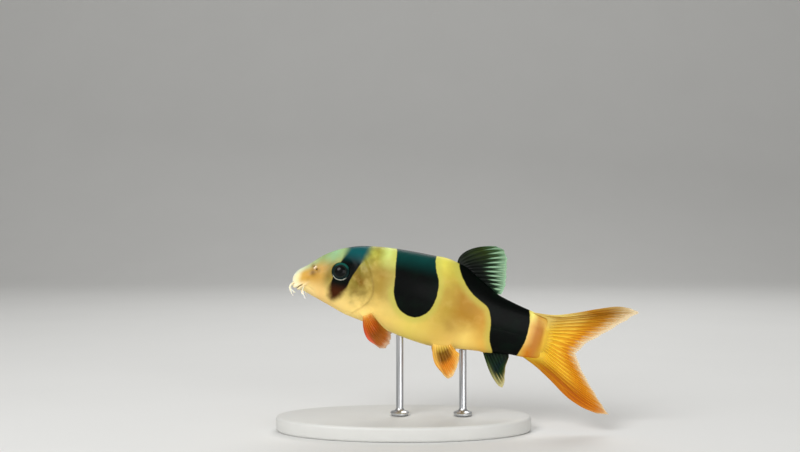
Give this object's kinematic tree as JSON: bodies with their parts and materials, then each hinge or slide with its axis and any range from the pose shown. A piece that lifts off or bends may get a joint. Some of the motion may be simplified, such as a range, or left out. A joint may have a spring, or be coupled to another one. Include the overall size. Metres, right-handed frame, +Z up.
{
  "type": "clown loach",
  "caption": "Still life-size model of a young clown loach, nose-up on a small display stand: gold body with black bands, forked orange tail, curled barbels.",
  "frame": {"origin": "centre of the bounding box, on the underside of the stand's base", "axes": "+Z up; the fish faces -X, its left flank is towards -Y and its back is up; the body is pitched nose-up by 13 degrees about Y"},
  "size_m": [0.1468, 0.052, 0.0753],
  "materials": {
    "body_skin": "wet satin skin, golden with three black bands, white snout and pale belly",
    "black_band": "wet satin skin, blue-black band over the tail stem, golden at its end",
    "eye": "clear gloss over a black pupil and a dark iris with a silver lower rim",
    "dark_fin": "black to olive fin with pale clear edges",
    "tail_fin": "translucent amber fin, orange in the lower lobe, with fine rays",
    "paired_fin": "orange-red to olive fin with a whitish tip and fine rays",
    "barbel": "soft creamy white feeler",
    "stand_board": "smooth satin pale grey board",
    "stand_steel": "fine brushed round rod"
  },
  "bodies": {
    "root": {"head": "body_skin", "trunk": "body_skin", "tail_stem": "black_band", "caudal_fin_upper": "tail_fin", "caudal_fin_lower": "tail_fin", "dorsal_fin": "dark_fin", "anal_fin": "dark_fin", "pectoral_fin_left": "paired_fin", "pelvic_fin_left": "paired_fin", "eye_left": "eye", "pectoral_fin_right": "paired_fin", "pelvic_fin_right": "paired_fin", "eye_right": "eye", "barbel_rostral_inner_left": "barbel", "barbel_rostral_inner_right": "barbel", "barbel_rostral_outer_left": "barbel", "barbel_rostral_outer_right": "barbel", "barbel_maxillary_left": "barbel", "barbel_maxillary_right": "barbel", "barbel_mandibular_left": "barbel", "barbel_mandibular_right": "barbel", "stand_base": "stand_board", "stand_rod_front": "stand_steel", "stand_rod_rear": "stand_steel"}
  },
  "joints": []
}
